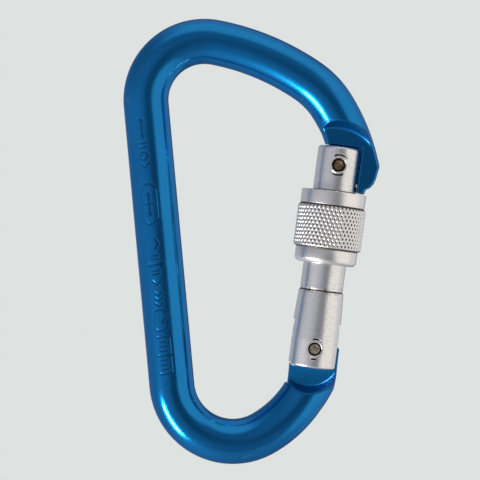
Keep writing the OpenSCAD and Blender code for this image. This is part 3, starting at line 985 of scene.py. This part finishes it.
def anodised(t, coords, shader):
    """Dyed aluminium under a clear skin."""
    shader.inputs["Metallic"].default_value = 1.0
    shader.inputs["Specular Tint"].default_value = (*BLUE_TINT, 1)
    shader.inputs["Coat Weight"].default_value = 0.3
    shader.inputs["Coat Roughness"].default_value = 0.12
    x, y, z = t.split(coords)
    grain = t.noise(coords, 2600, 3, 0.6)
    geometry = t.node("ShaderNodeNewGeometry")
    edges = t.step(geometry.outputs["Pointiness"], 0.53, 0.62)
    worn = t.times(edges, t.step(t.noise(coords, 700, 4), 0.35, 0.65))
    base = t.mix(t.noise(coords, 90, 3), BLUE, BLUE_CLOUD)
    base = t.mix(t.times(worn, 0.45), base, BLUE_WORN)
    # the stamped strokes are darkened with painted shade
    base = t.mix(t.times(stamped(t, x, y, z), 0.6), base, BLUE_MARK_SHADE)
    # the flats at the hinge are painted lighter, as painted light, with the streaks of the mill
    facing = t.step(t.size(t.split(geometry.outputs["Normal"])[1]), 0.97, 0.995)
    flat = t.times(facing, milled(t, x, z, HEEL_MILL))
    streak = t.noise(coords, 1.0, 3, 0.6, (300, 300, 2600))
    base = t.mix(flat, base, t.mix(streak, BLUE_FLAT_LIT, BLUE_STREAK_LIT))
    # the walls that the mills left are dull, and darkened with painted shade
    wall = t.most(*(mill_wall(t, x, y, z, cut) for cut in (HEEL_MILL, NOSE_MILL)))
    t.feed(shader.inputs["Base Color"], t.mix(t.times(wall, 0.75), base, BLUE_WALL_SHADE))
    # the top bow is duller than the rest
    rough = t.times_plus(t.step(z, -30 * MM, -10 * MM), 0.06, 0.11)
    for share, more in ((grain, 0.14), (wall, 0.3), (flat, 0.2)):
        rough = t.times_plus(share, more, rough)
    t.feed(shader.inputs["Roughness"], rough)
    set_bump(t, shader, grain, 0.02, 0.6)


def gate_shade_marks(t, coords):
    """Darkening on the gate: painted shade in the corner at the shoulder, blotches just over it, a
    painted shadow where the sleeve ends, and painted shade in the staking marks.
    """
    x, _, z = t.split(coords)
    blots = t.times(t.step(t.noise(coords, 520, 2), 0.42, 0.68), 0.8)
    # painted shade in the inside corner of the shoulder
    line = t.within(z, (SHOULDER - 0.02) * MM, (SHOULDER + 0.2) * MM, 0.12 * MM)
    over = t.times(t.within(z, SHOULDER * MM, (SHOULDER + 0.5) * MM, 0.9 * MM), blots)
    # painted shadow where the sleeve's mouth ends on the gate
    mouth = t.within(z, (SLEEVE_TOP - 0.3) * MM, (SLEEVE_TOP + 0.1) * MM, 0.4 * MM)
    darkening = t.most(line, over, mouth)
    # painted shade in the staking marks round both pins
    for height, half in ((0.0, 0.8), (PIN_GAP, 1.4)):
        ring = t.within(t.length(x, t.math("SUBTRACT", z, height * MM)), 2.22 * MM, 2.6 * MM, 0.08 * MM)
        near = t.step(t.size(x), half * MM, (half - 0.2) * MM)
        darkening = t.most(darkening, t.times(ring, near))
    return darkening


def knurl_pit_shade(t, coords):
    """Painted shade in the pits of the knurl and in the narrow necks below and above it."""
    x, y, z = t.split(coords)
    deep = t.other(t.step(t.length(x, y), (KNURL_R - 0.26) * MM, (KNURL_R - 0.05) * MM))
    band = t.within(z, (KNURL_FOOT - 0.1) * MM, (KNURL_TOP + 0.2) * MM, 0.1 * MM)
    return t.times(t.times(deep, band), 0.92)


def aluminium(tone, rough_low, turned, speckle, shade_marks, dark_tone):
    """Bare aluminium: turned is the share of turning rings in its relief, the rest being grain."""

    def build(t, coords, shader):
        shader.inputs["Metallic"].default_value = 1.0
        rings = t.noise(coords, 1.0, 2, 0.6, (60, 60, 5200))
        grain = t.noise(coords, 2100, 3, 0.65)
        dull = t.times(t.step(grain, 0.42, 0.7), speckle)
        pits = t.times(t.step(t.noise(coords, 3300, 2, 0.7), 0.55, 0.72), speckle)
        base = t.mix(dull, tone, shade(tone, 0.45))
        base = t.mix(t.times(t.noise(coords, 160, 3), 0.5), base, shade(tone, 0.86))
        base = t.mix(pits, base, shade(tone, 0.5))
        # painted shade in the hollows, where the surface curves inwards
        hollow_shade = t.other(t.step(t.node("ShaderNodeNewGeometry").outputs["Pointiness"], 0.42, 0.485))
        darkening = t.most(t.times(hollow_shade, 0.85), shade_marks(t, coords))
        # the painted shade and the marks passed in darken the colour
        t.feed(shader.inputs["Base Color"], t.mix(darkening, base, dark_tone))
        rough = t.times_plus(grain, 0.2, rough_low)
        t.feed(shader.inputs["Roughness"], t.times_plus(darkening, 0.3, rough))
        set_bump(t, shader, t.times_plus(rings, turned, t.times(grain, 1 - turned)), 0.03, 0.7)

    return build


PIN_RIM = (0.02, 0.016, 0.013)


def pin_steel(radius, bright, dark):
    """Dull steel with a dark ring round its end."""

    def build(t, coords, shader):
        shader.inputs["Metallic"].default_value = 1.0
        x, y, _ = t.split(coords)
        patch = t.noise(coords, 900, 4, 0.6)
        base = t.mix(t.step(patch, 0.35, 0.65), dark, bright)
        rim = t.step(t.length(x, y), radius * 0.72 * MM, radius * 0.84 * MM)
        t.feed(shader.inputs["Base Color"], t.mix(rim, base, PIN_RIM))
        t.feed(shader.inputs["Roughness"], t.times_plus(patch, 0.3, 0.35))
        set_bump(t, shader, t.noise(coords, 1500, 4, 0.6), 0.08, 0.8)

    return build


def spring_steel(t, coords, shader):
    """Bright drawn wire, and the turned pusher."""
    shader.inputs["Metallic"].default_value = 1.0
    drawn = t.noise(coords, 900, 3)
    t.feed(shader.inputs["Base Color"], t.mix(drawn, (0.45, 0.45, 0.46), (0.66, 0.66, 0.67)))
    t.feed(shader.inputs["Roughness"], t.times_plus(drawn, 0.2, 0.22))


def rubber(t, coords, shader):
    cloud = t.noise(coords, 700, 3)
    t.feed(shader.inputs["Base Color"], t.mix(cloud, (0.015, 0.015, 0.016), (0.035, 0.035, 0.037)))
    t.feed(shader.inputs["Roughness"], t.times_plus(cloud, 0.2, 0.6))
    set_bump(t, shader, cloud, 0.02, 0.5)


def dress(obj, m):
    """Gives an object one material."""
    obj.data.materials.clear()
    obj.data.materials.append(m)


tumbled = aluminium(
    (0.95, 0.93, 0.91),
    rough_low=0.2,
    turned=0.3,
    speckle=0.45,
    shade_marks=gate_shade_marks,
    dark_tone=(0.035, 0.03, 0.025),
)
turned_bright = aluminium(
    (0.97, 0.94, 0.905),
    rough_low=0.22,
    turned=0.6,
    speckle=0.15,
    shade_marks=knurl_pit_shade,
    dark_tone=(0.05, 0.039, 0.029),
)
grey_steel = pin_steel(HINGE_PIN_R, bright=(0.42, 0.37, 0.31), dark=(0.2, 0.16, 0.12))
brown_steel = pin_steel(LATCH_PIN_R, bright=(0.30, 0.21, 0.13), dark=(0.09, 0.055, 0.03))
wire = material("spring_steel_looks", spring_steel)
dress(bar, material("blue_anodised_looks", anodised))
dress(gate, material("tumbled_aluminium_looks", tumbled))
dress(sleeve, material("bright_aluminium_looks", turned_bright))
dress(hinge_pin, material("hinge_steel_looks", grey_steel))
dress(latch_pin, material("latch_steel_looks", brown_steel))
dress(spring, wire)
dress(frame["nodes"]["spring_plunger"], wire)
dress(frame["nodes"]["sleeve_friction_ring"], material("ring_rubber_looks", rubber))

# ---------------------------------------------------------------- studio

PALE = (0.730, 0.760, 0.752)
COOL, WARM = (0.94, 0.98, 1.12), (1.0, 0.975, 0.935)
DIM_LEVEL, LEFT_LEVEL, FRONT_DROP, BRIGHT_LEVEL = 0.3, 0.17, 0.13, 0.87


def build_world():
    """Soft studio surroundings: bright above and to the right, dim ahead, a little lighter left."""
    world = bpy.data.worlds.new("studio")
    bpy.context.scene.world = world
    world.use_nodes = True
    t = Tree(world.node_tree)
    x, y, z = t.split(t.node("ShaderNodeTexCoord").outputs["Generated"])
    # the slope of a surface that mirrors this direction to the front or to the back
    size = t.math("SQRT", t.times_plus(t.size(y), 2.0, 2.0))
    nx, nz = t.math("DIVIDE", x, size), t.math("DIVIDE", z, size)
    leftwards, downwards = t.times(nx, -1.0), t.times(nz, -1.0)
    above = t.times(t.step(nz, 0.37, 0.44), t.step(nx, -0.45, -0.12))
    right = t.times(t.step(nx, 0.24, 0.31), t.step(nz, -0.7, -0.3))
    below = t.times(t.step(downwards, 0.36, 0.5), 0.3)
    behind = t.times_plus(t.step(y, 0.0, 0.3), -0.4, 1.0)
    bright = t.times(t.most(above, right, below), behind)
    left = t.times(t.step(leftwards, -0.05, 0.3), t.step(downwards, -0.4, 0.1))
    from_front = t.length(t.math("SUBTRACT", nx, 0.14), nz)
    front = t.other(t.step(t.times(from_front, from_front), 0.0, 0.06))
    dim = t.times_plus(left, LEFT_LEVEL, t.times_plus(front, -FRONT_DROP, DIM_LEVEL))
    level = t.times_plus(bright, t.math("SUBTRACT", BRIGHT_LEVEL, dim), dim)
    back = t.node("ShaderNodeBackground")
    t.feed(back.inputs["Color"], t.mix(bright, COOL, WARM))
    t.feed(back.inputs["Strength"], level)
    t.feed(t.node("ShaderNodeOutputWorld").inputs["Surface"], back.outputs[0])


build_world()


def strip_light(name, towards, reach, long_way, length, width, radiance, colour):
    """A soft strip light at a distance from the object's middle, facing it."""
    data = bpy.data.lights.new(name, "AREA")
    data.shape = "RECTANGLE"
    data.size, data.size_y = length, width
    data.energy = radiance * math.pi * length * width
    data.color = colour
    obj = bpy.data.objects.new(name, data)
    bpy.context.scene.collection.objects.link(obj)
    z = Vector(towards).normalized()
    x = (Vector(long_way) - z * z.dot(Vector(long_way))).normalized()
    turn = Matrix((x, z.cross(x), z)).transposed().to_4x4()
    obj.matrix_world = Matrix.Translation((cad_lo + cad_hi) / 2 + z * reach) @ turn
    obj.visible_camera = False


strip_light(
    "low_left_strip",
    towards=(-0.71, -0.44, -0.545),
    reach=0.9,
    long_way=(0.256, 0.014, -0.435),
    length=0.34,
    width=0.16,
    radiance=54,
    colour=(1.0, 0.95, 0.9),
)


def build_backdrop():
    """A pale floor that runs up into a dome."""
    floor, flat_r, bend_r, dome_h = cad_lo.z - 0.0005, 2.0, 0.9, 2.0
    bend = np.linspace(0.1, math.pi / 2, 8)
    dome = np.linspace(0.15, math.pi / 2, 9)[:-1]
    rings = [(r, floor) for r in (0.0, flat_r / 2, flat_r)]
    rings += [(flat_r + bend_r * math.sin(a), floor + bend_r * (1 - math.cos(a))) for a in bend]
    rings += [((flat_r + bend_r) * math.cos(a), floor + bend_r + dome_h * math.sin(a)) for a in dome]
    rings += [(0.0, floor + bend_r + dome_h)]
    obj = lathe("backdrop", [(r / MM, h / MM) for r, h in rings], 64)
    m = bpy.data.materials.new("pale_paper")
    m.use_nodes = True
    t = Tree(m.node_tree)
    glow = t.node("ShaderNodeEmission")
    glow.inputs["Color"].default_value = (*PALE, 1)
    t.feed(t.node("ShaderNodeOutputMaterial").inputs["Surface"], glow.outputs[0])
    dress(obj, m)
    obj.visible_diffuse = obj.visible_glossy = obj.visible_shadow = False
    obj.visible_transmission = obj.visible_volume_scatter = False


build_backdrop()

# ---------------------------------------------------------------- camera

VIEW_WIDTH, CAMERA_REACH, SENSOR = 0.1162, 0.40, 0.036
VIEW_X, VIEW_Z = 0.008616, -0.042615  # the middle of the view
camera_data = bpy.data.cameras.new("camera")
camera_data.sensor_width = SENSOR / MM
camera_data.lens = SENSOR / MM * CAMERA_REACH / VIEW_WIDTH
camera_data.clip_start, camera_data.clip_end = 0.01, 10
camera = bpy.data.objects.new("camera", camera_data)
bpy.context.scene.collection.objects.link(camera)
camera.location = (VIEW_X, -CAMERA_REACH, VIEW_Z)
camera.rotation_euler = (math.pi / 2, 0, 0)
bpy.context.scene.camera = camera
bpy.context.scene.view_settings.view_transform = "Standard"
